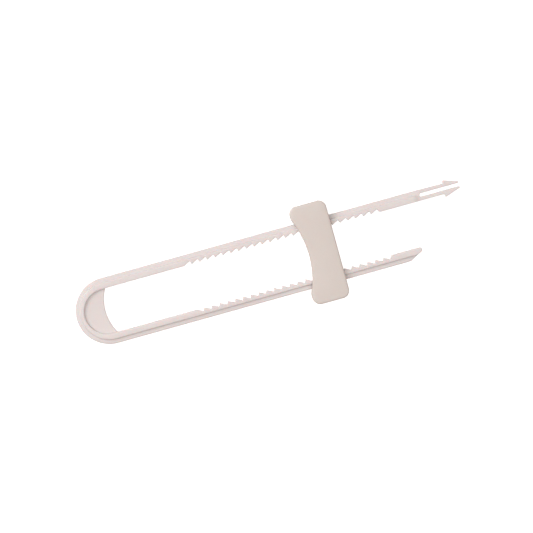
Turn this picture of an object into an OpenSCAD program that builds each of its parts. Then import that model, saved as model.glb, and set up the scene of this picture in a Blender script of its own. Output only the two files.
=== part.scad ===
// Child-safety slide lock: a toothed U-shaped strap and the slider that locks on it.
// X runs along the arms with the bend at -X, Y runs across them, and Z points to the front.
// The rear face of the slider is at z = 0.

/* [Strap] */
// Overall length along the arms
strap_len = 200; // [190:1:230]
// Overall width across the two arms
strap_w = 33.3; // [32.5:0.1:33.8]
// Width of one arm, from its outer edge to its tooth tips
arm_w = 5.45; // [5:0.05:5.6]
// Width of the thin flange along the outside
flange_w = 2.45; // [2:0.05:2.6]
// Thickness of the toothed rail
rail_t = 4.2; // [3.8:0.1:4.4]
// Thickness of the flange
flange_t = 2.2; // [1.6:0.1:3]
// Thickness of the web in the bend
web_t = 1.4; // [1:0.1:2]
// Width of the rail and flange at the middle of the bend
bend_band = 4.4; // [4:0.1:4.8]
// Radius of the free edge of the web
web_edge_r = 23; // [20:1:30]
// Distance from the outside of the bend to the middle of the web's free edge
web_depth = 14.9; // [12:0.1:15.4]

/* [Teeth] */
// Distance from one tooth to the next
pitch = 4; // [3.8:0.1:4.1]
// Depth of a tooth gap
tooth_depth = 1.6; // [1.2:0.1:1.7]
// Length of the steep face that holds the pawl
steep_len = 0.6; // [0.4:0.1:1]
// Flat left on each tooth tip
tip_flat = 0.2; // [0.1:0.1:0.4]
// Number of tooth gaps on each arm
gap_count = 25; // [20:1:26]
// Straight edge between the bend and the first gap
plain_lead = 41.55; // [38:0.05:44]

/* [Arm ends] */
// How far the short arm ends before the tip of the long arm
short_by = 26.1; // [25.5:0.1:28]
// Length of the slanted outer corner of the short arm
slant_len = 6.8; // [5:0.1:8]
// Depth of the slanted outer corner of the short arm
slant_depth = 3.6; // [2.5:0.1:3.8]
// Radius of the inner corner of the short arm
short_tip_r = 1; // [0.8:0.1:1.6]
// Length of the two springy prongs of the long arm
prong_len = 22.2; // [21:0.1:23]
// Thickness of the prongs
prong_t = 2.8; // [2.4:0.1:3.4]
// Width of the slot between the prongs
slot_w = 1.6; // [1.2:0.1:1.7]
// Length of the barb on the end of each prong
barb_len = 8; // [7.5:0.1:8.2]
// How far each barb stands out
barb_out = 1.55; // [1.2:0.05:1.6]

/* [Slider] */
// Tooth gap that the pawls stand in at rest
park_gap = 16; // [5:1:17]
// Size of the slider along the arms
slider_w = 18.8; // [18.8:0.1:19]
// Size of the slider across the arms
slider_l = 50; // [50:0.5:52]
// Height of the slider
slider_h = 12; // [12:0.1:13]
// Depth of the waist on the bend side
waist_depth = 4.1; // [3:0.1:4.2]
// Radius of the waist
waist_r = 46; // [46:1:60]
// Corner radius seen from the front
corner_r = 4; // [4:0.1:4.4]
// Rounding along the front edge of the cover
edge_r = 1.6; // [1:0.1:2]
// Wall thickness of the cover
cover_wall = 1.6; // [1.4:0.1:1.6]
// Wall thickness of the rear housing
housing_wall = 1.4; // [1.2:0.1:1.4]
// How far the rear housing stands in under the cover
housing_inset = 0.8; // [0.6:0.1:0.9]
// Thickness of the rear wall
floor_t = 1.5; // [1.2:0.1:1.6]

/* [Buttons] */
// Width of a push pad
pad_w = 10.2; // [9:0.1:10.4]
// Height of a push pad
pad_h = 6; // [5:0.1:6.2]
// Width of the bridge that passes behind the arm
bridge_w = 6.8; // [6:0.1:6.9]
// Thickness of the bridge
bridge_t = 1.6; // [1.2:0.1:1.6]
// Radius of the peg that draws the pawl in
peg_r = 1; // [0.8:0.1:1]

/* [Hidden] */
$fn = 72;

strap_colour = [0.90, 0.86, 0.855];
slider_colour = [0.85, 0.81, 0.78];
spring_colour = [0.93, 0.93, 0.91];

play = 0.25;               // free space round the strap in its channels
slip = 0.2;                // free space round a sliding button
past = 1;                  // how far a cutter runs past a face
lap = 0.6;                 // how far two layers of one piece run into each other

half_w = strap_w / 2;
rail_in = half_w - arm_w;              // inner edge of an arm, at the tooth tips
rail_out = half_w - flange_w;          // step from the rail down to the flange
tip_x = strap_len / 2;
bend_x = half_w - strap_len / 2;       // centre of the outer bend
web_x = rail_in + bend_band - strap_len / 2;   // centre of the inner bend
short_x = tip_x - short_by;
prong_x = tip_x - prong_len;
slot_x = prong_x + 1.9;                // closed end of the slot
slot_y = half_w - 2.9;                 // middle of the slot
nose = 0.5;                            // slanted corner on the tip of each prong
barb_late = 0.5;                       // how much nearer the tip the outer barb starts
prong_lean = 0.25;                     // how far the outer prong leans in on its way to the barb
tooth_x = bend_x + plain_lead;         // start of the first gap
plain_x = tooth_x + gap_count * pitch; // end of the last gap
plain_in = rail_in - 0.2;              // inner edge of an arm past its last gap
bridge_z = floor_t + slip;
strap_gap = 0.3;                       // from a button's bridge to the strap
strap_z = bridge_z + bridge_t + strap_gap + rail_t / 2;   // middle of the strap's thickness
seam_z = strap_z;                      // where the cover meets the housing

pawl_x = tooth_x + park_gap * pitch;   // start of the gap that the pawls stand in
slider_x = pawl_x + 2.2;               // middle of the slider along the arms
left_x = slider_x - slider_w / 2;
waist_x = left_x + waist_depth - waist_r;
channel_in = plain_in - play;
channel_out = half_w + play;
rib = 0.8;                             // wall beside a channel
arm_gap = rail_t + 2 * play;           // height of a channel
mid_roof_z = strap_z + rail_t / 2 + 0.5;   // inside of the cover between the arms
end_roof_z = slider_h - 2.4;           // inside of the cover outside the arms

post_r = 1.5;
post_y = 3;
post_play = 0.05;                      // free space round a post
post_gap = 0.2;                        // free space under a post
boss_r = 2.4;
boss_floor = floor_t + 0.3;            // bottom of the hole in a boss
peg_x = slider_x - 0.2;
peg_y = rail_in - 2;
pawl_low = rail_in - 3.7;              // inner face of a pawl block
pawl_high = rail_in - 0.3;             // outer face of a pawl block
pawl_z = bridge_z + bridge_t + slip;
pawl_t = 4;
pawl_w = 5.2;
pawl_gap = 0.15;                       // free space between a pawl's tooth and the steep face
bow_t = 1;
bow_h = 3;
bow_end_x = slider_x + 2.2;
bow_end_y = peg_y + 0.3;
bow_top_x = slider_x + 6.2;
bow_rise = bow_top_x - bow_end_x;
bow_r = (pow(bow_end_y, 2) + pow(bow_rise, 2)) / (2 * bow_rise);

end_in = slider_l / 2 - housing_inset - housing_wall;   // inside of the end walls
lip_out = end_in - 0.3;                // outer face of a button's lip
lip_in = lip_out - 1.4;
lip_w = pad_w + 1.6;
lip_top = end_roof_z - 0.3;
pad_z = 2.6;
pad_crown_r = 30;
peg_h = 2.8;
rest_w = 1.2;                          // rib that backs the spring
rest_l = 4;

// Both arms and the bend, between an outer and an inner radius
module u_band(r_out, r_in, inner_x, end_x) {
    difference() {
        union() {
            translate([bend_x, 0]) circle(r = r_out);
            translate([bend_x, -r_out]) square([end_x - bend_x, 2 * r_out]);
        }
        translate([inner_x, 0]) circle(r = r_in);
        translate([inner_x, -r_in]) square([strap_len, 2 * r_in]);
        short_arm_trim();
    }
}

// Everything past the slanted and rounded end of the short arm
module short_arm_trim() {
    keep_x = short_x - slant_len;
    difference() {
        translate([keep_x, -2 * half_w]) square([strap_len, 2 * half_w]);
        polygon(concat(
            [[keep_x - past, 0], [short_x - short_tip_r, 0]],
            [for (a = [90 : -15 : 0])
                [short_x - short_tip_r * (1 - cos(a)), -plain_in - short_tip_r * (1 - sin(a))]],
            [[short_x, slant_depth - half_w], [keep_x, -half_w], [keep_x - past, -half_w]]));
    }
}

// Saw-tooth gaps along one arm: a long slope, then a steep face that holds against opening
module tooth_gaps() {
    for (k = [0 : gap_count - 1])
        translate([tooth_x + k * pitch, rail_in])
            polygon([[tip_flat, -past], [tip_flat, 0], [pitch - steep_len, tooth_depth],
                [pitch, 0], [pitch, -past]]);
}

module rail_2d() {
    difference() {
        u_band(rail_out, rail_in, web_x, prong_x);
        tooth_gaps();
        mirror([0, 1]) tooth_gaps();
    }
    difference() {
        for (side = [0, 1]) mirror([0, side]) plain_end();
        short_arm_trim();
    }
}

// Rail of an arm past its last gap
module plain_end() {
    translate([plain_x, plain_in]) square([prong_x - plain_x, rail_out - plain_in]);
}

module flange_2d() {
    u_band(half_w, rail_out - lap, bend_x, prong_x);
}

// Crescent that closes the bend
module web_2d() {
    difference() {
        union() {
            translate([web_x, 0]) circle(r = rail_in + lap);
            translate([web_x, -rail_in - lap]) square([rail_in, 2 * (rail_in + lap)]);
        }
        translate([web_depth + web_edge_r - strap_len / 2, 0]) circle(r = web_edge_r);
        translate([bend_x + rail_in / 2, -half_w]) square([strap_len, strap_w]);
    }
}

// Two prongs with outward barbs, which stop the slider on the long arm
module prongs_2d() {
    root_x = prong_x - past;
    back_x = tip_x - barb_len;
    late_x = back_x + barb_late;
    top = half_w - prong_lean;
    difference() {
        polygon([[root_x, plain_in], [root_x, half_w], [prong_x, half_w],
            [late_x, top], [late_x, top + barb_out],
            [tip_x - nose, slot_y + slot_w / 2 + 2 * nose], [tip_x, slot_y + slot_w / 2 + nose],
            [tip_x, slot_y - slot_w / 2 - nose], [tip_x - nose, slot_y - slot_w / 2 - 2 * nose],
            [back_x, plain_in - barb_out], [back_x, plain_in]]);
        translate([slot_x + slot_w / 2, slot_y]) circle(r = slot_w / 2);
        translate([slot_x + slot_w / 2, slot_y - slot_w / 2]) square([strap_len, slot_w]);
    }
}

module plate(t) {
    translate([0, 0, strap_z - t / 2]) linear_extrude(t) children();
}

module strap() {
    color(strap_colour) union() {
        plate(rail_t) rail_2d();
        plate(flange_t) flange_2d();
        plate(web_t) web_2d();
        plate(prong_t) prongs_2d();
    }
}

// Rounded rectangle of the slider before its waist is cut
module block_2d(inset) {
    w = slider_w - 2 * inset;
    l = slider_l - 2 * inset;
    r = corner_r - inset;
    translate([slider_x, 0]) {
        square([w, l - 2 * r], center = true);
        square([w - 2 * r, l], center = true);
        for (sx = [-1, 1], sy = [-1, 1])
            translate([sx * (w / 2 - r), sy * (l / 2 - r)]) circle(r = r);
    }
}

// Outline of the slider with its waist, moved in by a distance
module slider_2d(inset) {
    difference() {
        block_2d(inset);
        translate([waist_x, 0]) circle(r = waist_r + inset);
    }
}

// Part of an outline between two distances from the centre line, on both sides
module both_ends(y_in, y_out) {
    intersection() {
        children();
        for (s = [-1, 1])
            translate([slider_x, s * (y_in + y_out) / 2]) square([2 * slider_w, y_out - y_in], center = true);
    }
}

module middle(y_out) {
    intersection() {
        children();
        translate([slider_x, 0]) square([2 * slider_w, 2 * y_out], center = true);
    }
}

// The two straight passages for the arms
module arm_channels() {
    for (s = [-1, 1])
        translate([slider_x, s * (channel_in + channel_out) / 2, strap_z])
            cube([2 * slider_w, channel_out - channel_in, arm_gap], center = true);
}

// The openings in the end walls for the push pads
module pad_windows() {
    translate([slider_x, 0, pad_z + pad_h / 2])
        cube([pad_w + 2 * slip, 2 * slider_l, pad_h + 2 * slip], center = true);
}

// Block that keeps the pad windows off the middle of the slider
module ends_only() {
    difference() {
        children();
        translate([slider_x, 0, 0]) cube([2 * slider_w, 2 * (end_in - past), 4 * slider_h], center = true);
    }
}

// Upper layer of the cover: a flat middle, half-round bars along the sides, round corners
module rounded_layer() {
    w = slider_w - 2 * corner_r;
    l = slider_l - 2 * corner_r;
    in_x = slider_w / 2 - edge_r;
    in_y = slider_l / 2 - edge_r;
    translate([-in_x, -l / 2, 0]) cube([2 * in_x, l, edge_r]);
    translate([-w / 2, -in_y, 0]) cube([w, 2 * in_y, edge_r]);
    for (s = [-1, 1]) {
        translate([s * in_x, l / 2, 0]) rotate([90, 0, 0]) cylinder(r = edge_r, h = l);
        translate([-w / 2, s * in_y, 0]) rotate([0, 90, 0]) cylinder(r = edge_r, h = w);
        for (t = [-1, 1]) translate([s * w / 2, t * l / 2, 0]) rotate_extrude() corner_profile();
    }
}

module corner_profile() {
    flat = corner_r - edge_r;
    square([flat, edge_r]);
    intersection() {
        translate([flat, 0]) circle(r = edge_r);
        square([corner_r, edge_r]);
    }
}

// Round cutter for the waist, which flares at the top to round the cover's edge
module waist_cutter() {
    top = slider_h - edge_r;
    translate([waist_x, 0, 0]) rotate_extrude($fn = 180) difference() {
        square([waist_r + edge_r, slider_h + past]);
        translate([waist_r, -past]) square([2 * edge_r, top + past]);
        translate([waist_r + edge_r, top]) circle(r = edge_r);
    }
}

module front_cover() {
    color(slider_colour) union() {
        difference() {
            union() {
                translate([0, 0, seam_z]) linear_extrude(slider_h - seam_z - edge_r) block_2d(0);
                translate([slider_x, 0, slider_h - edge_r]) rounded_layer();
            }
            waist_cutter();
            translate([0, 0, seam_z - past]) {
                linear_extrude(mid_roof_z - seam_z + past)
                    middle(channel_in - rib) slider_2d(cover_wall);
                linear_extrude(end_roof_z - seam_z + past)
                    both_ends(channel_out + rib, slider_l / 2) slider_2d(cover_wall);
            }
            arm_channels();
            pawl_gates();
            ends_only() pad_windows();
        }
        snap_posts();
    }
}

// Ways from the middle of the slider into both channels, where the pawls reach the teeth
module pawl_gates() {
    translate([0, 0, seam_z - past]) linear_extrude(mid_roof_z - seam_z + past)
        both_ends(channel_in - rib - past, channel_in + past) translate([slider_x, 0]) bridge_slot_2d();
}

// Posts on the cover that press into the bosses of the housing
module snap_posts() {
    for (s = [-1, 1])
        translate([peg_x, s * post_y, boss_floor + post_gap])
            cylinder(r = post_r, h = mid_roof_z + lap - boss_floor);
}

module rear_housing() {
    color(slider_colour) difference() {
        union() {
            difference() {
                linear_extrude(seam_z) slider_2d(housing_inset);
                translate([0, 0, floor_t]) linear_extrude(seam_z) slider_2d(housing_inset + housing_wall);
            }
            linear_extrude(seam_z) both_ends(channel_in - rib, channel_out + rib) bridge_guides();
            for (s = [-1, 1]) translate([peg_x, s * post_y, 0]) cylinder(r = boss_r, h = seam_z);
            spring_rest();
        }
        arm_channels();
        ends_only() pad_windows();
        for (s = [-1, 1])
            translate([peg_x, s * post_y, boss_floor]) cylinder(r = post_r + post_play, h = seam_z);
    }
}

// Solid ground under the arms on both sides of a button's bridge
module bridge_guides() {
    difference() {
        slider_2d(housing_inset);
        translate([slider_x, 0]) bridge_slot_2d();
    }
}

module bridge_slot_2d() {
    square([bridge_w + 3 * slip, slider_l], center = true);
}

// Upright rib that backs the middle of the spring
module spring_rest() {
    rest_x = bow_top_x - bow_t / 2 - slip;
    translate([rest_x - rest_w, -rest_l / 2, 0]) cube([rest_w, rest_l, seam_z + 1]);
}

// One-piece bow spring with a pawl at each end
module locking_spring() {
    color(spring_colour) union() {
        translate([0, 0, pawl_z + (pawl_t - bow_h) / 2]) linear_extrude(bow_h) bow_2d();
        pawl();
        mirror([0, 1, 0]) pawl();
    }
}

module bow_2d() {
    intersection() {
        translate([bow_top_x - bow_r, 0]) difference() {
            circle(r = bow_r + bow_t / 2);
            circle(r = bow_r - bow_t / 2);
        }
        translate([bow_end_x - past, -bow_end_y]) square([2 * bow_rise, 2 * bow_end_y]);
    }
}

// Pawl block with one tooth outwards and a hole for the button's peg
module pawl() {
    tooth_in = pawl_high - rail_in - pawl_gap;
    tooth_start = tip_flat + 3 * pawl_gap;
    tooth_end = pitch - 2 * pawl_gap;
    difference() {
        translate([0, 0, pawl_z]) linear_extrude(pawl_t) union() {
            translate([peg_x - pawl_w / 2, pawl_low]) square([pawl_w, pawl_high - pawl_low]);
            translate([pawl_x, rail_in]) polygon([[tooth_start, tooth_in], [tooth_start, 0],
                [pitch - steep_len - pawl_gap, tooth_depth - 2 * pawl_gap],
                [tooth_end, 0], [tooth_end, tooth_in]]);
        }
        translate([peg_x, peg_y, pawl_z - past]) cylinder(r = peg_r + pawl_gap, h = pawl_t + 2 * past);
    }
}

// Push pad, retaining lip, bridge behind the arm and the peg that draws the pawl in
module button() {
    bridge_in = pawl_low + strap_gap;
    joint = 0.2;
    translate([slider_x - bridge_w / 2, bridge_in, bridge_z])
        cube([bridge_w, lip_in + joint - bridge_in, bridge_t]);
    translate([slider_x - lip_w / 2, lip_in, bridge_z]) cube([lip_w, lip_out - lip_in, lip_top - bridge_z]);
    intersection() {
        translate([slider_x - pad_w / 2, lip_out - joint, pad_z]) cube([pad_w, slider_l, pad_h]);
        translate([slider_x, slider_l / 2 - pad_crown_r, 0])
            cylinder(r = pad_crown_r, h = slider_h, $fn = 180);
    }
    translate([peg_x, peg_y, bridge_z + bridge_t / 2]) cylinder(r = peg_r, h = bridge_t / 2 + peg_h);
}

module upper_button() {
    color(slider_colour) union() button();
}

module lower_button() {
    color(slider_colour) mirror([0, 1, 0]) union() button();
}

strap();
front_cover();
rear_housing();
locking_spring();
upper_button();
lower_button();
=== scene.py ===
import math

import bmesh
import bpy
import numpy as np
from mathutils import Matrix, Vector


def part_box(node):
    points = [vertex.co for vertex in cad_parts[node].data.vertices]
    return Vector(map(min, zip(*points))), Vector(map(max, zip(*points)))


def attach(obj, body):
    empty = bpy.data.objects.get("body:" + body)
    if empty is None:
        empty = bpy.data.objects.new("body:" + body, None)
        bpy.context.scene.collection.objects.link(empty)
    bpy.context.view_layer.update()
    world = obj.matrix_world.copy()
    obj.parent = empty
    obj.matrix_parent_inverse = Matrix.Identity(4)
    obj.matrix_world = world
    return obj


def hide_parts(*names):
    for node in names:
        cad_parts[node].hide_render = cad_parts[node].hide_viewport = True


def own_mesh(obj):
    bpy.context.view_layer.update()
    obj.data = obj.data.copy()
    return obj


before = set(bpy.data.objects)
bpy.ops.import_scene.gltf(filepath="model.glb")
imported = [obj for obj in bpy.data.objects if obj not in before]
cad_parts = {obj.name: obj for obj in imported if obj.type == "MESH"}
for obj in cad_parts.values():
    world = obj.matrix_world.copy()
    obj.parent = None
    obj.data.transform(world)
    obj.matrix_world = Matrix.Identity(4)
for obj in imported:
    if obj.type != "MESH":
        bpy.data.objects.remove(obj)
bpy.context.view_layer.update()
mm = 0.001  # one millimetre in metres


def circleArc(x, y, radius, start, end, count):
    # point(a) = centre + radius (cos a, sin a), for a between two angles in degrees
    a = np.radians(np.linspace(start, end, count))
    return np.column_stack([x + radius * np.cos(a), y + radius * np.sin(a)])


def roundedRect(x, y, radius, steps=7):
    # four quarter circles, whose ends the straight sides join, anticlockwise
    left, right = x[0] + radius, x[1] - radius
    near, far = y[0] + radius, y[1] - radius
    turns = [(right, near, -90), (right, far, 0), (left, far, 90), (left, near, 180)]
    return np.concatenate([circleArc(*centre, radius, start, start + 90, steps) for *centre, start in turns])


def onSide(outline, side):
    # the outline, or its mirror image across the centre line, still anticlockwise
    return outline if side > 0 else (outline * [1, -1])[::-1]


def evenSteps(outline, count):
    # the closed outline again, at even steps of its length
    ring = np.vstack([outline, outline[:1]])
    along = np.concatenate([[0], np.cumsum(np.hypot(*np.diff(ring, axis=0).T))])
    at = np.linspace(0, along[-1], count, endpoint=False)
    return np.column_stack([np.interp(at, along, ring[:, k]) for k in (0, 1)])


def outward(outline):
    # normal(u) = tangent(u) turned by -90 degrees, for an anticlockwise outline
    tangent = np.roll(outline, -1, 0) - np.roll(outline, 1, 0)
    normal = np.column_stack([tangent[:, 1], -tangent[:, 0]])
    return normal / np.linalg.norm(normal, axis=1, keepdims=True)


def roundCorners(corners, reaches, count):
    # each corner P becomes the curve (1-u)^2 A + 2u(1-u) P + u^2 B, with A and B on its two sides
    before = np.roll(corners, 1, 0) - corners
    after = np.roll(corners, -1, 0) - corners
    reach = np.asarray(reaches, float)[:, None]
    a = corners + before / np.linalg.norm(before, axis=1, keepdims=True) * reach
    b = corners + after / np.linalg.norm(after, axis=1, keepdims=True) * reach
    u = np.linspace(0, 1, count)[None, :, None]
    curve = (1 - u) ** 2 * a[:, None] + 2 * u * (1 - u) * corners[:, None] + u ** 2 * b[:, None]
    return curve.reshape(-1, 2)


def gridQuads(rows, columns):
    # quads between ring i and ring i+1, closed round each ring
    i, j = np.meshgrid(np.arange(rows - 1), np.arange(columns), indexing="ij")
    k = (j + 1) % columns
    quads = np.stack([i * columns + j, i * columns + k, (i + 1) * columns + k, (i + 1) * columns + j], -1)
    return quads.reshape(-1, 4).tolist()


meshLook = {
    "merge": 0.002,         # points nearer than this become one
    "sharp": 38,            # edges that turn by more degrees than this stay hard
}


def pieceFrom(name, points, faces):
    # a new object at the origin, from points in millimetres
    mesh = bpy.data.meshes.new(name)
    mesh.from_pydata((np.asarray(points) * mm).tolist(), [], faces)
    mesh.validate()
    piece = bpy.data.objects.new(name, mesh)
    bpy.context.scene.collection.objects.link(piece)
    tidyMesh(piece)
    return piece


def tidyMesh(piece):
    # merges doubled points, turns every face outwards and keeps the hard edges hard
    work = bmesh.new()
    work.from_mesh(piece.data)
    bmesh.ops.remove_doubles(work, verts=work.verts, dist=meshLook["merge"] * mm)
    bmesh.ops.recalc_face_normals(work, faces=work.faces)
    work.to_mesh(piece.data)
    work.free()
    piece.data.shade_smooth()
    piece.data.set_sharp_from_angle(angle=math.radians(meshLook["sharp"]))


def ringStack(name, rings):
    # surface(i, j) = ring i, point j; the first and last rings are closed by one flat face each
    rows, columns = rings.shape[:2]
    faces = gridQuads(rows, columns)
    faces.append(list(range(columns))[::-1])
    faces.append(list(range((rows - 1) * columns, rows * columns)))
    return pieceFrom(name, rings.reshape(-1, 3), faces)


def atHeights(flat, heights):
    # ring(i) = flat ring i, at height i
    z = np.broadcast_to(heights[:, None, None], flat.shape[:2] + (1,))
    return np.concatenate([flat, z], axis=2)


def slab(name, outline, low, high, edge, steps=4):
    # surface(u, v) = outline(u) - inset(v) normal(u), at height z(v), with quarter rounds at both edges
    turn = np.linspace(0, math.pi / 2, steps)
    inset = np.concatenate([edge * (1 - np.sin(turn)), edge * (1 - np.cos(turn))])
    height = np.concatenate([low + edge * (1 - np.cos(turn)), high - edge * (1 - np.sin(turn))])
    flat = outline[None] - inset[:, None, None] * outward(outline)[None]
    return ringStack(name, atHeights(flat, height))


def combine(piece, other, operation):
    # piece becomes its union or difference with other, which is used up
    step = piece.modifiers.new(operation.lower(), "BOOLEAN")
    step.operation = operation
    step.solver = "EXACT"
    step.object = other
    bpy.context.view_layer.update()
    shape = piece.evaluated_get(bpy.context.evaluated_depsgraph_get())
    mesh = bpy.data.meshes.new_from_object(shape)
    piece.modifiers.clear()
    old, piece.data = piece.data, mesh
    mesh.name = piece.name
    bpy.data.meshes.remove(old)
    bpy.data.objects.remove(other)
    tidyMesh(piece)
    return piece


strapLook = {
    "flange": 2.45,         # width of the thin outer flange
    "arm": 5.45,            # width of an arm at its tooth tips
    "flangeThick": 2.2,
    "webThick": 1.4,
    "prongThick": 2.8,
    "bendBand": 4.4,        # width of the strap at the middle of the bend
    "webEdge": 23.0,        # radius of the web's free edge
    "webDepth": 14.9,
    "plainLead": 41.55,     # straight edge before the first gap
    "pitch": 4.0,
    "gaps": 25,
    "toothDepth": 1.6,
    "steep": 0.6,           # how far a gap's steep face runs along the arm
    "tipFlat": 0.2,
    "toothRounds": (0.1, 0.07, 0.09, 0.24, 0.07),   # reach of the curve at each corner of a gap
    "shortBy": 26.1,        # how much shorter the short arm is
    "slant": (6.8, 3.6),    # length and depth of the short arm's slanted corner
    "slantSoft": 0.3,       # how softly the slant starts
    "shortTip": 1.0,
    "endProud": 0.2,        # how far the plain ends stand in past the tooth tips
    "swell": 1.5,           # length over which they get there
    "endRounds": (0.3, 0.25),   # at the short arm's end, and at the long arm's end inside the prongs
    "prongs": 22.2,
    "root": 1.9,            # solid length before the slot
    "slope": (1.6, 0.6),    # where the thickness changes: from before the prongs to before the slot
    "slot": 1.6,
    "slotAt": 2.9,          # middle of the slot, in from the outer edge
    "lean": 0.25,           # how far the outer prong leans in on its way to the barb
    "barb": (8.0, 1.55),    # length and height of a barb
    "barbLate": 0.5,        # how much nearer the tip the outer barb starts
    "barbEnd": (0.6, 0.55, 1.1),    # length and depth of the tip's rounding, and half the tip's width
    "flangeRound": 0.6,
    "railRound": 0.38,
    "foot": 0.42,           # fillet at the foot of the rail
    "prongRound": 0.32,
    "webFillet": 0.55,      # between the web and the wall of the rail
    "webRim": 0.45,         # rounding of the web's free edge
    "ridge": 0.03,          # parting line left by the mould along the outside
    "pin": (1.1, 0.12),     # radius and depth of the marks that the mould's pins leave behind
    "pinsOnRail": (35, 30, 36),     # from the bend on both arms, and from the tips on the long and short arm
    "pinsOnWeb": (10, 6),   # from the outside of the bend, and how far apart
}


def toothGaps(look, firstX):
    # all gaps of an arm, as x and depth: from a tooth's flat tip down a long slope and up a steep face,
    # with a small curve at each corner
    pitch, tip, steep, deep = (look[k] for k in ("pitch", "tipFlat", "steep", "toothDepth"))
    corners = np.array([[-steep, deep], [0, 0], [tip, 0], [pitch - steep, deep], [pitch, 0]])
    curves = roundCorners(corners, look["toothRounds"], 4).reshape(5, 4, 2)
    tooth = curves[1:4].reshape(-1, 2)
    start = np.arange(look["gaps"])[:, None] * pitch
    return (firstX + start + tooth[None, :, 0]).ravel(), np.tile(tooth[:, 1], look["gaps"])


def bendInside(look, half, angle):
    # the rail's inner edge, from the middle of the outer half circle: on the circle round the web's
    # centre in the bend, then on the straight line of each arm
    away = look["bendBand"] - look["arm"]
    rail = half - look["arm"]
    onCircle = away * np.cos(angle) + np.sqrt(rail ** 2 - (away * np.sin(angle)) ** 2)
    onLine = rail / np.abs(np.sin(angle))
    return np.where(onLine * np.cos(angle) > away, onLine, onCircle)


def strapStations(look, low, high, half):
    # stations along the outer line: short arm towards the bend, round the bend, long arm outwards; each
    # has its spot, the way inwards, and how far in the strap's outer and inner edges are
    bendX = low + half
    toothX = bendX + look["plainLead"]
    gapX, gapDepth = toothGaps(look, toothX)
    endX = toothX + look["gaps"] * look["pitch"]
    lead = np.linspace(bendX, toothX - 0.3, 14)

    def arm(tail):
        # a plain end swells to its full width over its first stretch
        proud = look["endProud"] * np.clip((tail - endX) / look["swell"], 0, 1)
        return np.concatenate([lead, gapX, tail]), np.concatenate([0 * lead, gapDepth, -proud])

    shortX = high - look["shortBy"]
    slantLong, slantDeep = look["slant"]
    tip = look["shortTip"]
    nose = shortX - tip * (1 - np.sin(np.linspace(0, math.pi / 2, 9)))
    shortTail = np.concatenate([np.linspace(endX, nose[0] - 0.2, 34), nose])
    longTail = np.linspace(endX, high - look["prongs"] + look["root"] - 0.5, 36)
    shortAt, shortDepth = arm(shortTail)
    longAt, longDepth = arm(longTail)
    intoTip = np.maximum(shortAt - shortX + tip, 0)
    tipRound = tip - np.sqrt(np.maximum(tip ** 2 - intoTip ** 2, 0))
    past = shortAt - shortX + slantLong
    slanted = (past + np.sqrt(past ** 2 + look["slantSoft"])) / 2 * slantDeep / slantLong
    shortOuter = np.where(shortAt > endX, slanted, 0)
    shortInside = look["arm"] - shortDepth - tipRound
    angle = np.radians(np.linspace(270, 90, 97))[1:-1]
    spot = np.concatenate([np.column_stack([shortAt, 0 * shortAt - half])[::-1],
                           np.column_stack([bendX + half * np.cos(angle), half * np.sin(angle)]),
                           np.column_stack([longAt, 0 * longAt + half])])
    inward = np.concatenate([np.column_stack([0 * shortAt, 0 * shortAt + 1]),
                             -np.column_stack([np.cos(angle), np.sin(angle)]),
                             np.column_stack([0 * longAt, 0 * longAt - 1])])
    outer = np.concatenate([shortOuter[::-1], 0 * angle, 0 * longAt])
    bend = half - bendInside(look, half, angle)
    inside = np.concatenate([shortInside[::-1], bend, look["arm"] - longDepth])
    return spot, inward, outer, inside


def strapBand(look, low, high, half, middle, thick):
    # surface(s, t) = outer line(s) + inward(s) distance(s, t), at height z(s, t): the section of flange
    # and rail carried along the U, where the inner edge follows the teeth and the long arm slopes
    # down to the thickness of its prongs
    spot, inward, outer, inside = strapStations(look, low, high, half)
    step = np.maximum(look["flange"], outer + 0.04)     # a thread of flange stays along the slant
    room = np.minimum((step - outer) / look["flange"], 1)
    rootX = high - look["prongs"]
    slopeX = [rootX - look["slope"][0], rootX + look["root"] - look["slope"][1]]
    slope = np.interp(spot[:, 0], slopeX, [0, 1]) * (spot[:, 1] > 0)
    slope = (slope * slope * (3 - 2 * slope))[:, None]
    prong = look["prongThick"] / 2 - 0.01               # just inside the prongs' own faces
    fade = 1 - slope
    flangeTop = look["flangeThick"] / 2 * fade + prong * slope
    railTop = thick / 2 * fade + prong * slope
    flangeRound = look["flangeRound"] * fade + look["prongRound"] * slope
    railRound, foot = look["railRound"], look["foot"]
    turn = np.linspace(0, math.pi / 2, 4)
    across, down = 1 - np.cos(turn)[None], 1 - np.sin(turn)[None]   # the steps of a quarter round
    none = 0 * slope
    fit = room[:, None]
    ridge = look["ridge"]
    shift = np.concatenate([
        np.array([[0, 0, ridge]]) + none, ridge + flangeRound * fit * across, -foot * fit * down,
        railRound * across + none, -railRound * down + none], axis=1)
    height = np.concatenate([
        np.array([[0, ridge, 2.5 * ridge]]) + none, flangeTop - flangeRound * down,
        flangeTop + foot * fade * across, railTop - railRound * fade * down,
        railTop - railRound * across], axis=1)
    base = np.repeat([0, 1, 2, 3], [7, 4, 4, 4])    # what each point is measured from: the four edges
    distance = np.stack([outer, step, step, inside], axis=1)[:, base] + shift
    distance = np.concatenate([distance, distance[:, ::-1]], axis=1)
    height = np.concatenate([height, -height[:, ::-1]], axis=1)
    flat = spot[:, None] + inward[:, None] * distance[..., None]
    rings = np.concatenate([flat, (middle + height)[..., None]], axis=2)
    shortRound, longRound = look["endRounds"]
    ends = endRings(rings[0], shortRound), endRings(rings[-1], longRound)[::-1]
    rings = np.concatenate([ends[0], rings[1:-1], ends[1]])
    return ringStack("toothed_strap", rings)


def endRings(ring, edge):
    # the last ring drawn in over a quarter round, so that the end of the bar has no sharp rim
    centre = ring.mean(0)
    turn = np.linspace(math.pi / 2, 0, 4)[:, None, None]
    reach = np.maximum(np.abs(ring - centre), edge)
    drawn = ring[None] - (ring - centre)[None] / reach * edge * (1 - np.cos(turn))
    back = np.array([-edge, 0, 0]) * (1 - np.sin(turn))
    return drawn + back


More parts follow.
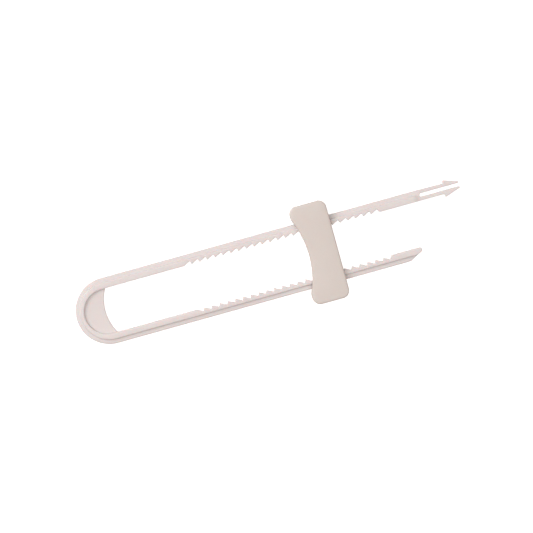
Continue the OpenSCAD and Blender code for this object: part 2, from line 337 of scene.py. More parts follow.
def zipped(name, rings):
    # both ends are closed by strips between the upper and lower halves of the ring
    rows, columns = rings.shape[:2]
    faces = gridQuads(rows, columns)
    j = np.arange(columns // 2 - 1)
    strip = np.stack([j, j + 1, columns - 2 - j, columns - 1 - j], axis=1)
    faces += strip.tolist() + (strip + (rows - 1) * columns)[:, ::-1].tolist()
    return pieceFrom(name, rings.reshape(-1, 3), faces)


def strapWeb(look, low, half, middle):
    # surface(y, t) = line from the rail to the free edge at place y across the bend, with a fillet and a
    # rim: rail x = webX - sqrt(R^2 - y^2), free edge x = edgeX - sqrt(E^2 - y^2)
    buried = 0.7    # how deep the web's outer edge is inside the rail
    wall = half - look["arm"]
    radius = wall + buried
    webX = low + look["bendBand"] + half - look["arm"]
    edgeX = low + look["webDepth"] + look["webEdge"]
    y = radius * np.sin(np.linspace(-math.pi / 2, math.pi / 2, 81)[1:-1]) * 0.999
    railX = webX - np.sqrt(radius ** 2 - y ** 2)
    wallX = (webX - np.sqrt(np.maximum(wall ** 2 - y ** 2, 0)))[:, None]
    freeX = edgeX - np.sqrt(look["webEdge"] ** 2 - y ** 2)
    top, fillet, rim = look["webThick"] / 2, look["webFillet"], look["webRim"]
    turn = np.linspace(0, math.pi / 2, 5)
    x = np.concatenate([railX[:, None], wallX - 0.02 + fillet * (1 - np.sin(turn[::-1])),
                        freeX[:, None] - rim * (1 - np.sin(turn))], axis=1)
    z = np.concatenate([[top + fillet], top + fillet * (1 - np.cos(turn[::-1])),
                        top - rim * (1 - np.cos(turn))])
    x, z = np.concatenate([x, x[:, ::-1]], axis=1), np.concatenate([z, -z[::-1]])
    return zipped("web", np.stack(np.broadcast_arrays(x, y[:, None], middle + z), axis=2))


def prongBar(name, x, near, far, middle, thick, edge):
    # surface(x, t) = rounded rectangle between near(x) and far(x) across the arm, carried along X
    turn = np.linspace(0, math.pi / 2, 4)
    across, down = edge * (1 - np.cos(turn)), edge * (1 - np.sin(turn))
    share = np.minimum((far - near) / 2 - 0.02, edge)[:, None] / edge   # less where the bar is thin
    y = np.concatenate([near[:, None] + share * across, far[:, None] - share * across[::-1]], axis=1)
    z = np.concatenate([thick / 2 - down, (thick / 2 - down)[::-1]])
    y, z = np.concatenate([y, y[:, ::-1]], axis=1), np.concatenate([z, -z[::-1]])
    return zipped(name, np.stack(np.broadcast_arrays(x[:, None], y, middle + z), axis=2))


def strapProngs(look, high, half, middle):
    # two bars with the slot between them: the slot's edge is slotY + side (gap - round end at x), the
    # outer edge is straight, then rises steeply to the barb and falls along its flank to the nose
    rootX = high - look["prongs"]
    slotX, slotY = rootX + look["root"], half - look["slotAt"]
    gap = look["slot"] / 2
    barbLong, barbHigh = look["barb"]
    noseLong, noseDeep, tipHalf = look["barbEnd"]
    turn = np.linspace(0, math.pi / 2, 7)
    lap = 0.4       # the bars overlap by this much on each side before the slot
    slotEnd = np.concatenate([[slotX - 0.9, slotX - 0.02], slotX + gap * (1 - np.cos(turn))])
    slotWide = np.concatenate([[-lap, -lap], gap * np.sin(turn)])
    nose = high - noseLong * (1 - np.sin(turn))
    noseIn = noseDeep * (1 - np.cos(turn))
    # the rounded back of a barb, along the arm and outwards from the straight prong
    back = np.array([[-0.45, 0], [-0.2, 0.08], [0, barbHigh - 0.45], [0.1, barbHigh - 0.12],
                     [0.22, barbHigh - 0.04], [0.4, barbHigh - 0.09]])
    bars = []
    for side in (1, -1):
        root = half - look["ridge"] if side > 0 else half - look["arm"] - look["endProud"]
        root += side * 0.015    # just past the arm's own faces, so that the two never lie in one plane
        straight = root - look["lean"] if side > 0 else root
        rise = high - barbLong + (look["barbLate"] if side > 0 else 0)
        backX = rise + back[:, 0]
        x = np.concatenate([slotEnd, np.linspace(slotX + gap + 0.6, rise - 0.9, 10),
                            np.sort(np.append(backX, rise - 0.08)),
                            np.linspace(rise + 0.8, nose[0] - 0.1, 10), nose])
        near = slotY + side * np.interp(x, slotEnd, slotWide)
        end = slotY + side * (gap + tipHalf)
        away = np.interp(x, [rootX, *backX, nose[0]], [root, *(straight + side * back[:, 1]), end])
        tail = np.concatenate([np.zeros(len(x) - len(nose)), noseIn])
        edges = [near + side * tail * 0.5, away - side * tail][::side]
        bars.append(prongBar("prongs", x, *edges, middle, look["prongThick"], look["prongRound"]))
    return combine(bars[0], bars[1], "UNION")


def markRear(strap, look, low, high, middle):
    # shallow round pin marks: four on the plain stretches of the rails and three on the web
    radius, deep = look["pin"]
    railY = -low[1] - (look["flange"] + look["arm"]) / 2
    fromBend, fromLong, fromShort = look["pinsOnRail"]
    webIn, apart = look["pinsOnWeb"]
    marks = [(low[0] + fromBend, railY, low[2]), (low[0] + fromBend, -railY, low[2]),
             (high[0] - fromLong, railY, low[2]), (high[0] - fromShort, -railY, low[2])]
    marks += [(low[0] + webIn, y, middle - look["webThick"] / 2) for y in (-apart, 0, apart)]
    for x, y, rear in marks:
        combine(strap, post(x, y, radius, rear - 1, rear + deep, 0.02), "DIFFERENCE")


def makeStrap():
    low, high = (np.array(c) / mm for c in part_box("strap"))
    half = -low[1]
    middle = (low[2] + high[2]) / 2
    strap = strapBand(strapLook, low[0], high[0], half, middle, high[2] - low[2])
    combine(strap, strapWeb(strapLook, low[0], half, middle), "UNION")
    combine(strap, strapProngs(strapLook, high[0], half, middle), "UNION")
    markRear(strap, strapLook, low, high, middle)
    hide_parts("strap")
    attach(strap, "strap")
    print("strap:", len(strap.data.polygons), "faces")
    return strap


# what the cover and the housing share
sliderLook = {
    "corner": 4.0,
    "waistDepth": 4.1,
    "waist": 46.0,          # radius of the waist
    "points": 420,          # steps round the outline
    "window": (10.6, 2.4, 8.8),     # width, bottom and top of a push pad's window
    "windowDeep": 3.2,      # how far in from the slider's end a window is cut
    "gate": 7.4,            # width of the way through which a pawl reaches the teeth
    "rib": 0.8,             # thickness of the ribs beside the arms
    "post": 1.5,
    "postAt": (-0.2, 3.0),  # from the middle of the slider
    "play": 0.25,           # between an arm and its passage
    "beyond": 5,            # how far a cut runs past the shells
    "brokenEdge": (0.12, 50),       # bevel of the openings, on edges that turn by more degrees than this
}

coverLook = {
    "edge": 1.05,           # rounding along the front edge
    "crown": 0.4,           # rise of the front towards its middle
    "draft": 0.12,          # how much the wall leans in on its way up
    "seamRound": (0.25, 0.08),      # rounding of the edge at the seam, and its middle step
    "wall": 1.6,
    "roof": 2.4,            # thickness of the front over the push pads
    "padLeft": 2.2,         # wall at the waist's side, beside the pads
    "middleLeft": 6.2,      # the same between the arms, where the waist is deepest
    "gate": (7.0, 0.5, 0.03),       # start from the centre line, run into the passage, and drop of its roof
    "post": (2.0, 0.6),     # bottom of a post, and how deep its top is in the front
}


def sliderOutline(look, low, high):
    # arcs joined by straight lines, anticlockwise, where the waist meets each lobe in a corner's arc
    corner, waist = look["corner"], look["waist"]
    waistX = low[0] + look["waistDepth"] - waist
    lobeX = low[0] + corner
    lobeY = math.sqrt((waist + corner) ** 2 - (lobeX - waistX) ** 2)
    meet = math.degrees(math.atan2(lobeY, lobeX - waistX))
    cornerX, cornerY = high[0] - corner, high[1] - corner
    outline = np.concatenate([
        circleArc(cornerX, -cornerY, corner, -90, 0, 16), circleArc(cornerX, cornerY, corner, 0, 90, 16),
        circleArc(lobeX, cornerY, corner, 90, 180, 16), circleArc(lobeX, lobeY, corner, 180, 180 + meet, 8),
        circleArc(waistX, 0, waist, meet, -meet, 60),
        circleArc(lobeX, -lobeY, corner, 180 - meet, 180, 8),
        circleArc(lobeX, -cornerY, corner, 180, 270, 16)])
    return evenSteps(outline, look["points"])


def coverBody(look, low, high, seam):
    # surface(u, v): the wall and the quarter round are outline(u) - inset(v) normal(u), and the front is
    # (1 - f) rim(u) + f spine(u), at height top - crown (1 - f)^2
    outline = sliderOutline(sliderLook, low, high)
    edge, crown, top = look["edge"], look["crown"], high[2] - 0.01
    seamRound, seamStep = look["seamRound"]
    turn = np.radians(np.linspace(0, 84, 9))    # the crowned front takes over before the quarter is full
    inset = np.concatenate([[seamRound, seamStep, 0.0], look["draft"] + edge * (1 - np.cos(turn))])
    rise = np.concatenate([[seam, seam + seamStep, seam + seamRound],
                           top - crown - edge * (1 - np.sin(turn))])
    walls = outline[None] - inset[:, None, None] * outward(outline)[None]
    rim = walls[-1]
    reach = high[1] - (high[0] - low[0]) / 2
    waist = sliderLook["waist"]
    waistX = low[0] + sliderLook["waistDepth"] - waist
    spineY = np.clip(rim[:, 1], -reach, reach)
    leftX = np.maximum(low[0], waistX + np.sqrt(waist ** 2 - spineY ** 2))
    spine = np.column_stack([(leftX + high[0]) / 2, spineY])
    f = np.linspace(0, 0.92, 12)[1:, None, None]
    front = (1 - f) * rim[None] + f * spine[None]
    z = np.concatenate([rise, top - crown * (1 - f.ravel()) ** 2])
    z[-1] = z[-2] + (z[-1] - z[-2]) * 0.6       # the last ring is closed flat, so it stays a little lower
    return ringStack("cover_shell", atHeights(np.concatenate([walls, front]), z))


def prism(name, outline, z):
    # surface(u, v) = outline(u) at the lower and the upper height
    return ringStack(name, np.stack([np.column_stack([outline, np.full(len(outline), h)]) for h in z]))


def block(x, y, z):
    # prism between two planes on each axis
    return prism("block", np.array([[x[0], y[0]], [x[1], y[0]], [x[1], y[1]], [x[0], y[1]]]), z)


def post(x, y, radius, low, high, edge=0.1):
    # upright round bar with rounded ends
    return slab("post", circleArc(x, y, radius, 0, 360, 41)[:-1], low, high, edge)


def sliderPlaces():
    # what both shells share: heights and distances from the centre line, worked out from the frame
    low, high = (np.array(c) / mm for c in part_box("front_cover"))
    strapLow, strapHigh = (np.array(c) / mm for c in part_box("strap"))
    half, play = -strapLow[1], sliderLook["play"]
    tips = half - strapLook["arm"]
    return {"low": low, "high": high, "middleX": (low[0] + high[0]) / 2,
            "seam": (strapLow[2] + strapHigh[2]) / 2, "tips": tips,
            "armIn": tips - strapLook["endProud"] - play, "armOut": half + play,
            "under": strapLow[2] - play, "over": strapHigh[2] + play}


def span(middle, width):
    # the two ends of a width about its middle
    return (middle - width / 2, middle + width / 2)


def onSideSpan(side, inner, outer):
    # from inner to outer, on one side of the centre line
    return sorted([side * inner, side * outer])


def cutPassages(shell, at):
    # the two ways for the arms, and the windows for the push pads, through a shell
    low, high, beyond = at["low"], at["high"], sliderLook["beyond"]
    wide, bottom, top = sliderLook["window"]
    allX = (low[0] - beyond, high[0] + beyond)
    for side in (-1, 1):
        y = onSideSpan(side, at["armIn"], at["armOut"])
        combine(shell, block(allX, y, (at["under"], at["over"])), "DIFFERENCE")
        y = onSideSpan(side, high[1] - sliderLook["windowDeep"], high[1] + beyond)
        combine(shell, block(span(at["middleX"], wide), y, (bottom, top)), "DIFFERENCE")


def breakEdges(shell):
    # takes the sharpness off the openings
    width, degrees = sliderLook["brokenEdge"]
    edge = shell.modifiers.new("edge", "BEVEL")
    edge.width = width * mm
    edge.segments = 2
    edge.limit_method = "ANGLE"
    edge.angle_limit = math.radians(degrees)


def makeCover():
    # the body, less a pocket over each pad, a gate for each pawl, the middle, the passages and windows,
    # and with a post on each side
    at = sliderPlaces()
    low, high, seam = at["low"], at["high"], at["seam"]
    look, below = coverLook, seam - 1
    body = coverBody(look, low, high, seam)
    wall, rib = look["wall"], sliderLook["rib"]
    roof = at["over"] + sliderLook["play"]
    right = high[0] - wall
    padX = (low[0] + look["padLeft"], right)
    gateIn, gateOn, gateDrop = look["gate"]
    for side in (-1, 1):
        y = onSideSpan(side, at["armOut"] + rib, high[1] - wall)
        combine(body, block(padX, y, (below, high[2] - look["roof"])), "DIFFERENCE")
        gateX, y = span(at["middleX"], sliderLook["gate"]), onSideSpan(side, gateIn, at["armIn"] + gateOn)
        combine(body, block(gateX, y, (below, roof - gateDrop)), "DIFFERENCE")
    y = at["armIn"] - rib
    combine(body, block((low[0] + look["middleLeft"], right), (-y, y), (below, roof)), "DIFFERENCE")
    cutPassages(body, at)
    postX, postY = sliderLook["postAt"]
    foot, buried = look["post"]
    for side in (-1, 1):
        stem = post(at["middleX"] + postX, side * postY, sliderLook["post"], foot, roof + buried)
        combine(body, stem, "UNION")
    breakEdges(body)
    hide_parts("front_cover")
    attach(body, "slider")
    print("front_cover:", len(body.data.polygons), "faces")
    return body


housingLook = {
    "inset": 0.8,           # how far the rear housing stands in under the cover
    "wall": 1.4,
    "floor": 1.5,
    "edge": 0.9,            # rounding of the rear edge
    "seamEdge": 0.1,        # bevel at the seam
    "floorRound": 0.2,      # between floor and walls
    "boss": 2.4,
    "bossTop": 0.01,        # how far a boss stays under the seam
    "holeGap": 0.05,        # between a boss's hole and the cover's post
    "holeFloor": 0.3,       # thickness left under a hole, above the floor
    "guideLeft": (4.3, 2.1),    # where the guides start beside the waist, at their inner and outer face
    "guideRight": 0.7,      # and how far from the outer wall they end
    "guideTop": 0.02,       # how far they stay under the seam
    "buried": (0.5, 0.4),   # how deep the guides, and the bosses and rest, start in the floor
    "rest": (5.5, 1.2, 4),  # the spring's rest: its face from the slider's middle, thickness and width
}


def makeHousing():
    # surface(u, v) = outline(u) - inset(v) normal(u), rising from a rounded rear edge to the seam, hollowed
    # out and with a guide for each arm, a boss for each post and a rest for the spring
    at = sliderPlaces()
    seam, look = at["seam"], housingLook
    outline = sliderOutline(sliderLook, at["low"], at["high"])
    normal = outward(outline)
    rim = outline - look["inset"] * normal
    turn = np.linspace(0, math.pi / 2, 7)
    edge, bevel = look["edge"], look["seamEdge"]
    inset = np.concatenate([edge * (1 - np.sin(turn)), [0, bevel]])
    height = np.concatenate([edge * (1 - np.cos(turn)), [seam - bevel, seam]])
    flat = rim[None] - inset[:, None, None] * normal[None]
    body = ringStack("housing_shell", atHeights(flat, height))
    floor, above = look["floor"], seam + 1
    hollow = evenSteps(outline, 200)
    hollow = hollow - (look["inset"] + look["wall"]) * outward(hollow)
    combine(body, slab("hollow", hollow, floor, above, look["floorRound"]), "DIFFERENCE")
    left, right = at["low"][0], at["high"][0] - look["inset"] - look["guideRight"]
    inner, outer = at["armIn"] - sliderLook["rib"], at["armOut"] + sliderLook["rib"]
    innerLeft, outerLeft = (left + start for start in look["guideLeft"])
    guide = np.array([[innerLeft, inner], [right, inner], [right, outer], [outerLeft, outer]])
    guideZ = (floor - look["buried"][0], seam - look["guideTop"])
    footZ = floor - look["buried"][1]
    for side in (-1, 1):
        combine(body, prism("guide", onSide(guide, side), guideZ), "UNION")
        y = onSideSpan(side, inner - 1, outer + 1)
        combine(body, block(span(at["middleX"], sliderLook["gate"]), y, (floor, above)), "DIFFERENCE")
    cutPassages(body, at)
    postX, postY = sliderLook["postAt"]
    x, hole = at["middleX"] + postX, sliderLook["post"] + look["holeGap"]
    for y in (-postY, postY):
        combine(body, post(x, y, look["boss"], footZ, seam - look["bossTop"]), "UNION")
        combine(body, post(x, y, hole, floor + look["holeFloor"], above, 0.05), "DIFFERENCE")
    restAt, thick, wide = look["rest"]
    restX = at["middleX"] + restAt
    combine(body, block((restX - thick, restX), span(0, wide), (footZ, above)), "UNION")
    breakEdges(body)
    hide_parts("rear_housing")
    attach(body, "slider")
    print("rear_housing:", len(body.data.polygons), "faces")
    return body


buttonLook = {
    "bridge": (6.8, 1.6),       # width and thickness of the tongue that passes behind the strap
    "lip": (11.8, 1.4),         # width and thickness of the lip that keeps the pad in
    "pad": (10.2, 2.6, 8.6),    # width, bottom and top of the pad
    "padStands": 2.5,           # from the lip's outer face to the end of the slider
    "buried": (0.3, 0.9, 0.5),  # how deep the tongue, the pad and the peg go into what they stand on
    "lipUp": 0.03,              # how far the lip's rear face is above the tongue's
    "crown": 30.0,              # radius of the pad's face
    "corner": 0.5,
    "ribs": (6, 0.22),          # number and depth of the finger ribs
    "peg": (1.0, 2.8),          # radius, and height above the bridge
    "rounds": (0.4, 0.35),      # corners of the tongue and of the lip
    "edges": (0.2, 0.3),        # rounding along the tongue, lip and peg, and along the pad
}


def padOutline(look, middleX, back, front):
    # face y(x) = front - R + sqrt(R^2 - x^2) - depth sin^2(pi n x / width), between rounded corners
    corner, radius, (count, depth) = look["corner"], look["crown"], look["ribs"]
    reach = look["pad"][0] / 2 - corner
    x = np.linspace(reach - 0.05, 0.05 - reach, 150)
    ribs = depth * np.sin(math.pi * count * x / (2 * reach)) ** 2
    y = front - radius + np.sqrt(radius ** 2 - x ** 2) - ribs
    cornerY = y[0] - corner
    backY = back + corner
    outline = np.concatenate([
        circleArc(-reach, backY, corner, 180, 270, 7), circleArc(reach, backY, corner, 270, 360, 7),
        circleArc(reach, cornerY, corner, 0, 90, 7), np.column_stack([x, y]),
        circleArc(-reach, cornerY, corner, 90, 180, 7)])
    return evenSteps(outline + [middleX, 0], 220)


def makeButton(node, side):
    # a tongue behind the strap, a lip inside the end wall, the pad in its window, and the peg for the pawl
    at, look = sliderPlaces(), buttonLook
    low, high = (np.array(c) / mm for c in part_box(node))
    middleX = (low[0] + high[0]) / 2
    near, far = sorted(abs(np.array([low[1], high[1]])))
    lipOut = far - look["padStands"]
    wide, thick = look["bridge"]
    lipWide, lipThick = look["lip"]
    tongueRound, lipRound = look["rounds"]
    edge, padEdge = look["edges"]
    tongueIn, padIn, pegIn = look["buried"]
    rear = low[2]
    tongue = roundedRect(span(middleX, wide), (near, lipOut - tongueIn), tongueRound)
    button = slab(node.replace("button", "push_pad"), onSide(tongue, side), rear, rear + thick, edge)
    lip = roundedRect(span(middleX, lipWide), (lipOut - lipThick, lipOut), lipRound)
    combine(button, slab("lip", onSide(lip, side), rear + look["lipUp"], high[2], edge), "UNION")
    pad = onSide(padOutline(look, middleX, lipOut - padIn, far), side)
    combine(button, slab("pad", pad, *look["pad"][1:], padEdge), "UNION")
    radius, tall = look["peg"]
    pegX, pegY = at["middleX"] + springLook["peg"][0], at["tips"] - springLook["peg"][1]
    peg = post(pegX, side * pegY, radius, rear + pegIn, rear + thick + tall, edge)
    combine(button, peg, "UNION")
    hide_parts(node)
    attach(button, node)
    print(node + ":", len(button.data.polygons), "faces")
    return button


springLook = {
    "thick": 1.0,           # of the bow
    "bowHeight": 3.0,
    "bowEnd": (2.2, 0.3),   # where the bow goes into a pawl: from the slider's middle, and past the peg
    "pawl": (5.2, 3.4),     # size of a pawl block
    "pawlHeight": 4.0,
    "pawlGap": 0.3,         # between a pawl block and the tooth tips
    "peg": (-0.2, 2.0),     # a peg's hole: from the middle of the slider, and in from the tooth tips
    "hole": 1.15,
    "toothX": -2.2,         # where the gap that a pawl stands in starts, from the slider's middle
    "tooth": (0.6, 3.75, 3.25, 1.3),    # foot's start and end, tip's place, and how far it reaches in
    "rounds": (0.3, 0.3, 0.3, 0.06, 0.1, 0.15, 0.1, 0.02, 0.02),    # at each corner of a pawl
    "edges": (0.2, 0.08),   # rounding along the bow and along a pawl
    "squeeze": 0.78,        # width left when the pawls have been drawn right in
}


def pawlOutline(look, middleX, tips):
    # a block with one saw tooth on its face: a long slope up to the tip, then a steep face back
    wide, deep = look["pawl"]
    left, right = span(middleX + look["peg"][0], wide)
    face = tips - look["pawlGap"]
    toothX = middleX + look["toothX"]
    start, end, tip, reach = look["tooth"]
    corners = np.array([
        [left, face - deep], [right, face - deep], [right, face],
        [toothX + end, face], [toothX + end - 0.05, tips + 0.05], [toothX + tip, tips + reach],
        [toothX + start + 0.05, tips + 0.05], [toothX + start, face], [left, face]])
    return roundCorners(corners, look["rounds"], 4)


def makeSpring():
    # the bow is the band between two arcs, and each pawl is a slab that stands in the teeth
    at, look = sliderPlaces(), springLook
    low, high = (np.array(c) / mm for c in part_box("locking_spring"))
    middle = (low[2] + high[2]) / 2
    pegX, pegY = at["middleX"] + look["peg"][0], at["tips"] - look["peg"][1]
    half = look["thick"] / 2
    topX = high[0] - half
    endX, endY = at["middleX"] + look["bowEnd"][0], pegY + look["bowEnd"][1]
    rise = topX - endX
    radius = (endY ** 2 + rise ** 2) / (2 * rise)
    spread = math.degrees(math.asin(endY / radius))
    bow = np.concatenate([circleArc(topX - radius, 0, radius + half, -spread, spread, 40),
                          circleArc(topX - radius, 0, radius - half, spread, -spread, 40)])
    bowEdge, pawlEdge = look["edges"]
    spring = slab("bow_spring", bow, *span(middle, look["bowHeight"]), bowEdge)
    outline = pawlOutline(look, at["middleX"], at["tips"])
    through = span(middle, 2 * look["pawlHeight"])
    for side in (-1, 1):
        pawl = slab("pawl", onSide(outline, side), *span(middle, look["pawlHeight"]), pawlEdge)
        combine(spring, pawl, "UNION")
        combine(spring, post(pegX, side * pegY, look["hole"], *through), "DIFFERENCE")
    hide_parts("locking_spring")
    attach(spring, "slider")
    at["middleX"] * mm
    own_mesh(spring)
    print("locking_spring:", len(spring.data.polygons), "faces")
    return spring


class Value:
    # a shader socket that can be used in sums
    def __init__(self, shop, socket):
        self.shop, self.socket = shop, socket

    def do(self, operation, *others):
        return self.shop.add("ShaderNodeMath", {"operation": operation}, [self, *others])

    def __add__(self, other):
        return self.do("ADD", other)

    def __sub__(self, other):
        return self.do("SUBTRACT", other)

    def __mul__(self, other):
        return self.do("MULTIPLY", other)

    def __rsub__(self, other):
        return self.shop.add("ShaderNodeMath", {"operation": "SUBTRACT"}, [other, self])

    __radd__ = __add__
    __rmul__ = __mul__


class Finish:
    # one material's node tree, with one way to add a node
    def __init__(self, name):
        self.material = bpy.data.materials.new(name)
        self.material.use_nodes = True
        self.tree = self.material.node_tree
        self.tree.nodes.clear()

    def add(self, kind, settings=None, inputs=None, output=0):
        node = self.tree.nodes.new(kind)
        for key, value in (settings or {}).items():
            setattr(node, key, value)
        pairs = inputs.items() if isinstance(inputs, dict) else enumerate(inputs or [])
        for key, value in pairs:
            if isinstance(value, Value):
                self.tree.links.new(value.socket, node.inputs[key])
            else:
                node.inputs[key].default_value = value
        return Value(self, node.outputs[output]) if len(node.outputs) else node

    def mix(self, amount, first, second):
        # sockets 6 and 7 and output 2 are the ones for colours
        return self.add("ShaderNodeMix", {"data_type": "RGBA"}, {0: amount, 6: first, 7: second}, output=2)


# tone, shade and pale are the plastic's usual, darkest and palest colours
strapFinish = {
    "tone": (0.790, 0.748, 0.738, 1),
    "shade": (0.750, 0.694, 0.682, 1),
    "pale": (0.828, 0.795, 0.788, 1),
    "rough": 0.46,
    "depth": 0.3,           # share of the light that enters the plastic
    "reach": 0.0012,        # how far it spreads inside, in metres
    "grain": (38.0, 90.0, 90.0),    # flow marks are long in X, the way the plastic filled the mould
    "polish": (60.0, 2600.0, 2600.0),   # fine lines along the arms, left from polishing the mould
    "rubbed": (12.6, 11.4),         # from the centre line: the strip that the pawls ride on
    "texture": 0.12,
}

sliderFinish = {
    "tone": (0.722, 0.673, 0.630, 1),
    "shade": (0.682, 0.620, 0.577, 1),
    "pale": (0.754, 0.709, 0.669, 1),
    "rough": 0.5,
    "depth": 0.16,
    "reach": 0.001,
    "grain": (60.0, 60.0, 60.0),
    "polish": (1900.0, 1900.0, 1900.0),
    "rubbed": (20.5, 25.5),         # where the fingers hold it
    "texture": 0.2,
}

springFinish = {
    "tone": (0.84, 0.84, 0.80, 1),
    "shade": (0.78, 0.78, 0.74, 1),
    "pale": (0.88, 0.88, 0.85, 1),
    "rough": 0.35,
    "depth": 0.4,
    "reach": 0.0015,
    "grain": (70.0, 70.0, 70.0),
    "polish": (2600.0, 2600.0, 80.0),
    "rubbed": (9.0, 12.0),          # the pawls' teeth
    "texture": 0.1,
}

plasticLook = {
    "clouds": 35.0,         # scale of each pattern, in steps a metre
    "mottle": 900.0,
    "pits": 2200.0,
    "flow": 1.6,            # this one on top of a finish's own grain
    "flowShade": 0.55,      # how strongly the flow marks and the mottling darken the plastic
    "mottleShade": 0.25,
    "rubPale": 0.4,         # how much paler and smoother the rubbed strip is
    "rubSmooth": 0.07,
    "roughMottle": 0.12,    # how far each pattern moves the roughness
    "roughFlow": 0.1,
    "bump": (0.45, 0.35, 0.3),      # shares of mottling, pits and polishing lines in the relief
    "relief": 0.06,         # height of the relief
    "ior": 1.49,
    "gloss": 0.45,
    "bleed": (1.0, 0.45, 0.32),     # how far red, green and blue spread inside, beside each other
}


def mouldedPlastic(name, look):
    # colour = slow clouds, darkened by long flow marks and fine mottling, paler where it is rubbed
    # relief = mottling + spark-eroded pits + the polishing lines of the mould
    shop, base = Finish(name), plasticLook
    place = shop.add("ShaderNodeTexCoord", output=3)    # Object coordinates
    along = shop.add("ShaderNodeMapping", {}, {"Vector": place, "Scale": look["grain"]})
    lines = shop.add("ShaderNodeMapping", {}, {"Vector": place, "Scale": look["polish"]})
    clouds = shop.add("ShaderNodeTexNoise", {}, {"Vector": place, "Scale": base["clouds"], "Detail": 3.0})
    flow = shop.add("ShaderNodeTexNoise", {}, {"Vector": along, "Scale": base["flow"], "Detail": 4.0,
                                               "Roughness": 0.6})
    mottle = shop.add("ShaderNodeTexNoise", {}, {"Vector": place, "Scale": base["mottle"], "Detail": 3.0})
    streaks = shop.add("ShaderNodeTexNoise", {}, {"Vector": lines, "Scale": 1.0, "Detail": 2.0})
    pits = shop.add("ShaderNodeTexVoronoi", {"feature": "F1"}, {"Vector": place, "Scale": base["pits"]})
    across = shop.add("ShaderNodeSeparateXYZ", {}, [place], output=1)   # Y, across the arms
    start, full = look["rubbed"]
    rub = shop.add("ShaderNodeMapRange", {"interpolation_type": "SMOOTHSTEP"},
                   {"Value": across.do("ABSOLUTE"), "From Min": start * mm, "From Max": full * mm})
    tint = shop.mix(clouds, look["tone"], look["pale"])
    plain = shop.mix(flow * base["flowShade"] + mottle * base["mottleShade"], tint, look["shade"])
    colour = shop.mix(rub * flow * base["rubPale"], plain, look["pale"])
    rough = look["rough"] + (mottle - 0.5) * base["roughMottle"] + (flow - 0.5) * base["roughFlow"]
    rough = rough - rub * base["rubSmooth"]
    ofMottle, ofPits, ofLines = base["bump"]
    height = mottle * ofMottle + pits * ofPits + streaks * ofLines
    bump = shop.add("ShaderNodeBump", {}, {
        "Strength": look["texture"], "Distance": base["relief"] * mm, "Height": height})
    shader = shop.add("ShaderNodeBsdfPrincipled", {}, {
        "Base Color": colour, "Roughness": rough, "Normal": bump, "IOR": base["ior"],
        "Specular IOR Level": base["gloss"], "Subsurface Weight": look["depth"],
        "Subsurface Radius": base["bleed"], "Subsurface Scale": look["reach"]})
    shop.add("ShaderNodeOutputMaterial", {}, {"Surface": shader})
    print("material:", name)
    return shop.material


def paint(piece, material):
    piece.data.materials.clear()
    piece.data.materials.append(material)


cameraLook = {
    "turn": 15.59,          # the arms rise to the right by this angle
    "lean": 3.0,            # the camera stands a little to the long arm's side
    "width": 263.7,         # what the picture is wide at the strap
    "lens": 100.0,
    "sensor": 36.0,
    "aim": (-2.55, 0.12),
}


def makeCamera(look):
    turn, lean = math.radians(look["turn"]), math.radians(look["lean"])
    data = bpy.data.cameras.new("camera")
    data.lens, data.sensor_width = look["lens"], look["sensor"]
    data.clip_start, data.clip_end = 0.01, 20
    camera = bpy.data.objects.new("camera", data)
    bpy.context.scene.collection.objects.link(camera)
    low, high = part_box("strap")
    aim = Vector((look["aim"][0] * mm, look["aim"][1] * mm, (low.z + high.z) / 2))
    back = Vector((0, math.sin(lean), math.cos(lean)))
    right = Vector((math.cos(turn), -math.sin(turn), 0))
    right = (right - back * right.dot(back)).normalized()
    up = back.cross(right)
    distance = look["width"] * mm * look["lens"] / look["sensor"]
    facing = Matrix((right, up, back)).transposed().to_4x4()
    camera.matrix_world = Matrix.Translation(aim + back * distance) @ facing
    bpy.context.scene.camera = camera
    print("camera:", round(distance, 3), "m away")


floorLook = {
    "tone": (0.95, 0.95, 0.95, 1),
    "glow": 0.75,           # keeps the floor white to its edges
    "reach": 4000.0,        # from the middle to each side
    "below": 0.02,          # under the slider's back
}


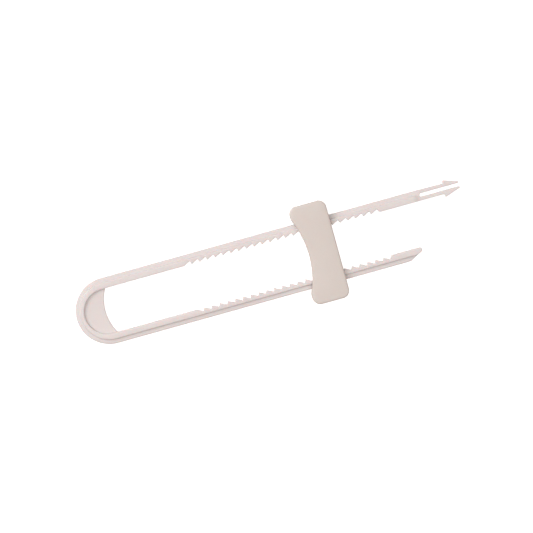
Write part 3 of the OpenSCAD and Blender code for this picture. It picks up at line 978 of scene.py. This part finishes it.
def makeFloor(look):
    shop = Finish("floor_paint")
    shader = shop.add("ShaderNodeBsdfPrincipled", {}, {
        "Base Color": look["tone"], "Roughness": 0.9, "Specular IOR Level": 0.1,
        "Emission Color": (1, 1, 1, 1), "Emission Strength": look["glow"]})
    shop.add("ShaderNodeOutputMaterial", {}, {"Surface": shader})
    corners = np.array([[-1, -1], [1, -1], [1, 1], [-1, 1]]) * look["reach"]
    points = np.column_stack([corners, np.full(4, -look["below"])])
    floor = pieceFrom("floor", points, [[0, 1, 2, 3]])
    floor.visible_diffuse = False       # keeps the floor's glow off the sides of the plastic
    paint(floor, shop.material)
    print("floor: done")


# each soft box: direction, distance and size in metres, and power
lightLook = {
    "key": ((-0.54, 0.54, 0.65), 2.0, 1.3, 19.0),
    "overhead": ((0.1, -0.05, 1.0), 1.5, 1.8, 7.2),
}

roomLook = {
    "tone": (1.0, 0.88, 0.835, 1),
    "strength": 0.45,
}


def softBox(name, direction, distance, size, power):
    data = bpy.data.lights.new(name, "AREA")
    data.shape, data.size, data.energy = "DISK", size, power
    light = bpy.data.objects.new(name, data)
    bpy.context.scene.collection.objects.link(light)
    away = Vector(direction).normalized()
    facing = away.to_track_quat("Z", "Y").to_matrix().to_4x4()
    light.matrix_world = Matrix.Translation(away * distance) @ facing


def makeLight():
    for name, settings in lightLook.items():
        softBox(name, *settings)
    world = bpy.data.worlds.new("room")
    bpy.context.scene.world = world
    world.use_nodes = True
    glow = world.node_tree.nodes["Background"].inputs
    glow["Color"].default_value = roomLook["tone"]
    glow["Strength"].default_value = roomLook["strength"]
    bpy.context.scene.view_settings.view_transform = "Standard"
    print("light:", len(lightLook), "soft boxes and the room")


makeCamera(cameraLook)
strapPlastic = mouldedPlastic("strap_plastic", strapFinish)
sliderPlastic = mouldedPlastic("slider_plastic", sliderFinish)
springPlastic = mouldedPlastic("spring_plastic", springFinish)
paint(makeStrap(), strapPlastic)
paint(makeCover(), sliderPlastic)
paint(makeHousing(), sliderPlastic)
for node, side in (("upper_button", 1), ("lower_button", -1)):
    paint(makeButton(node, side), sliderPlastic)
paint(makeSpring(), springPlastic)
makeFloor(floorLook)
makeLight()
